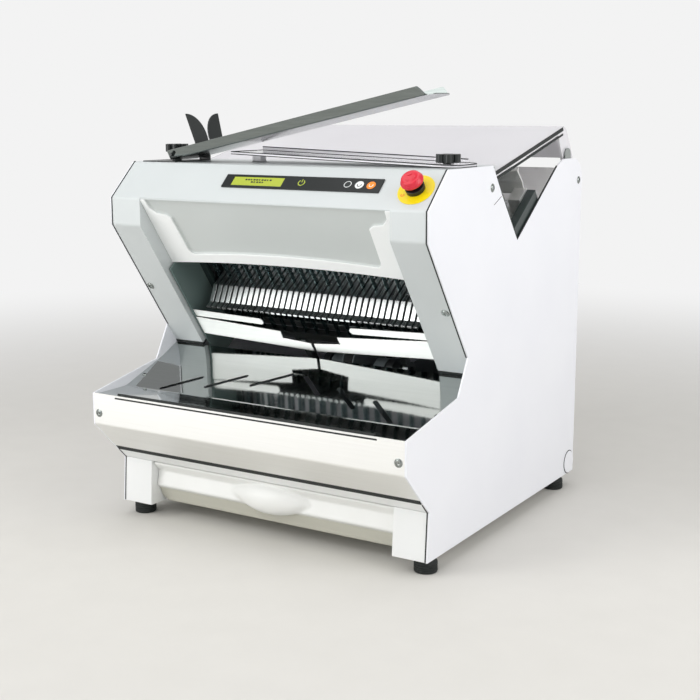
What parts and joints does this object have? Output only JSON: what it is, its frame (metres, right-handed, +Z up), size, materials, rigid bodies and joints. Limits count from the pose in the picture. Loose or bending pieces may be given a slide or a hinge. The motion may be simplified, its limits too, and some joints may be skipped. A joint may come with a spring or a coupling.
{
  "type": "bread slicer machine",
  "caption": "Countertop bread slicer with a sloped slotted bed, reciprocating blade frames, pusher, outlet tray, crumb drawer, hinged clear lid and bagging scoop.",
  "frame": {"origin": "On the floor under the middle of the bounding box", "axes": "+X to the right of the front, +Y to the back, +Z up"},
  "size_m": [0.654, 0.7, 0.7884],
  "materials": {
    "panel_paint": "fine white powder coat",
    "cover_paint": "fine white powder coat",
    "hood_white": "moulded white hood",
    "frame_paint": "pale grey powder coat",
    "drawer_grey": "moulded pale grey",
    "polished_steel": "polished stainless sheet",
    "bed_steel": "ground stainless bars",
    "blade_steel": "hardened blade strip",
    "frame_steel": "ground steel bar",
    "dark_paint": "dark green-black coat",
    "satin_steel": "satin stainless sheet, brushed across",
    "smoked_steel": "darkened stainless sheet",
    "cheek_grey": "dark teal-grey coat",
    "rail_grey": "mid grey-green coat",
    "guide_plastic": "low-friction guide strip",
    "black_rubber": "moulded rubber",
    "black_plastic": "moulded black plastic",
    "strip_black": "printed front film",
    "lcd_lens": "backlit yellow-green lens",
    "legend_yellow": "yellow legend disc",
    "stop_red": "red mushroom head",
    "key_grey": "grey key",
    "key_white": "white key",
    "key_amber": "amber key",
    "clear_lavender": "tinted clear acrylic",
    "cast_grey": "painted casting",
    "box_grey": "moulded housing",
    "zinc": "zinc-plated steel"
  },
  "bodies": {
    "body": {"side_panel_left": "panel_paint", "side_panel_right": "panel_paint", "rear_panel": "panel_paint", "front_cover": "cover_paint", "hood_guard": "hood_white", "base_frame": "frame_paint", "crumb_deck": "frame_paint", "outlet_tray": "polished_steel", "scoop_bracket": "polished_steel", "front_apron": "satin_steel", "outlet_plate_left": "satin_steel", "outlet_plate_right": "satin_steel", "rear_floor": "satin_steel", "bread_bed": "bed_steel", "chamber_ceiling": "dark_paint", "cheek_left": "cheek_grey", "cheek_right": "cheek_grey", "pusher_rails": "rail_grey", "blade_guides": "guide_plastic", "feet": "black_rubber", "front_edge_strip": "black_rubber", "drive_belt": "black_rubber", "cap_plugs": "panel_paint", "cable_gland": "black_plastic", "estop_collar": "black_plastic", "display_bezel": "strip_black", "lcd_window": "lcd_lens", "estop_legend": "legend_yellow", "base_strip": "clear_lavender", "motor": "cast_grey", "motor_feet": "cast_grey", "bearing_stands": "cast_grey", "control_box": "box_grey", "cover_screws": "zinc", "lid_hinges": "zinc", "cheek_spacers": "zinc"},
    "lid_body": {"lid": "clear_lavender"},
    "drawer_body": {"crumb_drawer": "drawer_grey"},
    "pusher_body": {"pusher_plate": "satin_steel"},
    "front_frame_body": {"front_blade_frame": "frame_steel", "front_blades": "blade_steel"},
    "rear_frame_body": {"rear_blade_frame": "frame_steel", "rear_blades": "blade_steel"},
    "front_rod_body": {"front_rod": "frame_steel"},
    "rear_rod_body": {"rear_rod": "frame_steel"},
    "crank_body": {"crankshaft": "frame_steel", "crank_pulley": "cast_grey"},
    "motor_rotor": {"motor_pulley": "cast_grey"},
    "estop_plunger_body": {"estop_plunger": "black_plastic"},
    "estop_head_body": {"estop_head": "stop_red"},
    "key_power_body": {"key_power": "key_grey"},
    "key_ring_body": {"key_ring": "key_grey"},
    "key_white_body": {"key_white": "key_white"},
    "key_amber_body": {"key_amber": "key_amber"},
    "scoop_body": {"scoop": "smoked_steel", "scoop_horns": "black_plastic"},
    "knob_left_body": {"knob_left": "black_plastic"},
    "knob_right_body": {"knob_right": "black_plastic"}
  },
  "joints": [
    {"name": "lid_hinge", "type": "hinge", "parent": "body", "child": "lid_body", "pos_m": [0, 0.282, 0.665], "axis": [-1, 0, 0], "range_deg": [0, 70]},
    {"name": "drawer_slide", "type": "slide", "parent": "body", "child": "drawer_body", "axis": [0, -1, 0], "range_m": [0, 0.22]},
    {"name": "pusher_slide", "type": "slide", "parent": "body", "child": "pusher_body", "axis": [0, -0.8161, -0.5779], "range_m": [0, 0.2]},
    {"name": "front_blades_slide", "type": "slide", "parent": "body", "child": "front_frame_body", "axis": [0, -0.5779, 0.8161], "range_m": [-0.012, 0.012]},
    {"name": "rear_blades_slide", "type": "slide", "parent": "body", "child": "rear_frame_body", "axis": [0, -0.5779, 0.8161], "range_m": [-0.012, 0.012]},
    {"name": "front_rod_swing", "type": "hinge", "parent": "front_frame_body", "child": "front_rod_body", "pos_m": [-0.096, 0.00587, 0.30682], "axis": [1, 0, 0], "range_deg": [-9, 9]},
    {"name": "rear_rod_swing", "type": "hinge", "parent": "rear_frame_body", "child": "rear_rod_body", "pos_m": [0.096, 0.03036, 0.32416], "axis": [1, 0, 0], "range_deg": [-9, 9]},
    {"name": "crank_spin", "type": "hinge", "parent": "body", "child": "crank_body", "pos_m": [0, 0.06203, 0.25346], "axis": [1, 0, 0], "continuous": true},
    {"name": "motor_spin", "type": "hinge", "parent": "body", "child": "motor_rotor", "pos_m": [0, 0.235, 0.184], "axis": [1, 0, 0], "continuous": true},
    {"name": "estop_push", "type": "slide", "parent": "body", "child": "estop_plunger_body", "axis": [0, 0.6843, -0.7292], "range_m": [0, 0.005], "stiffness_N_per_m": 300, "springref_m": -0.01},
    {"name": "estop_twist", "type": "hinge", "parent": "estop_plunger_body", "child": "estop_head_body", "pos_m": [0.285, -0.2635, 0.64279], "axis": [0, -0.6843, 0.7292], "range_deg": [0, 45]},
    {"name": "key_power_press", "type": "slide", "parent": "body", "child": "key_power_body", "axis": [0, 0.6843, -0.7292], "range_m": [0, 0.0006], "stiffness_N_per_m": 300, "springref_m": -0.001},
    {"name": "key_ring_press", "type": "slide", "parent": "body", "child": "key_ring_body", "axis": [0, 0.6843, -0.7292], "range_m": [0, 0.0006], "stiffness_N_per_m": 300, "springref_m": -0.001},
    {"name": "key_white_press", "type": "slide", "parent": "body", "child": "key_white_body", "axis": [0, 0.6843, -0.7292], "range_m": [0, 0.0006], "stiffness_N_per_m": 300, "springref_m": -0.001},
    {"name": "key_amber_press", "type": "slide", "parent": "body", "child": "key_amber_body", "axis": [0, 0.6843, -0.7292], "range_m": [0, 0.0006], "stiffness_N_per_m": 300, "springref_m": -0.001},
    {"name": "scoop_tilt", "type": "hinge", "parent": "body", "child": "scoop_body", "pos_m": [-0.243, -0.159, 0.673], "axis": [0, -1, 0], "range_deg": [-4, 8]},
    {"name": "knob_left_turn", "type": "hinge", "parent": "body", "child": "knob_left_body", "pos_m": [-0.284, -0.14, 0.671], "axis": [0, 0, 1], "continuous": true},
    {"name": "knob_right_turn", "type": "hinge", "parent": "body", "child": "knob_right_body", "pos_m": [0.284, -0.14, 0.671], "axis": [0, 0, 1], "continuous": true}
  ],
  "couplings": [
    {"joint": "rear_blades_slide", "follows": "front_blades_slide", "ratio": -1},
    {"joint": "motor_spin", "follows": "crank_spin", "ratio": 2.3077}
  ]
}
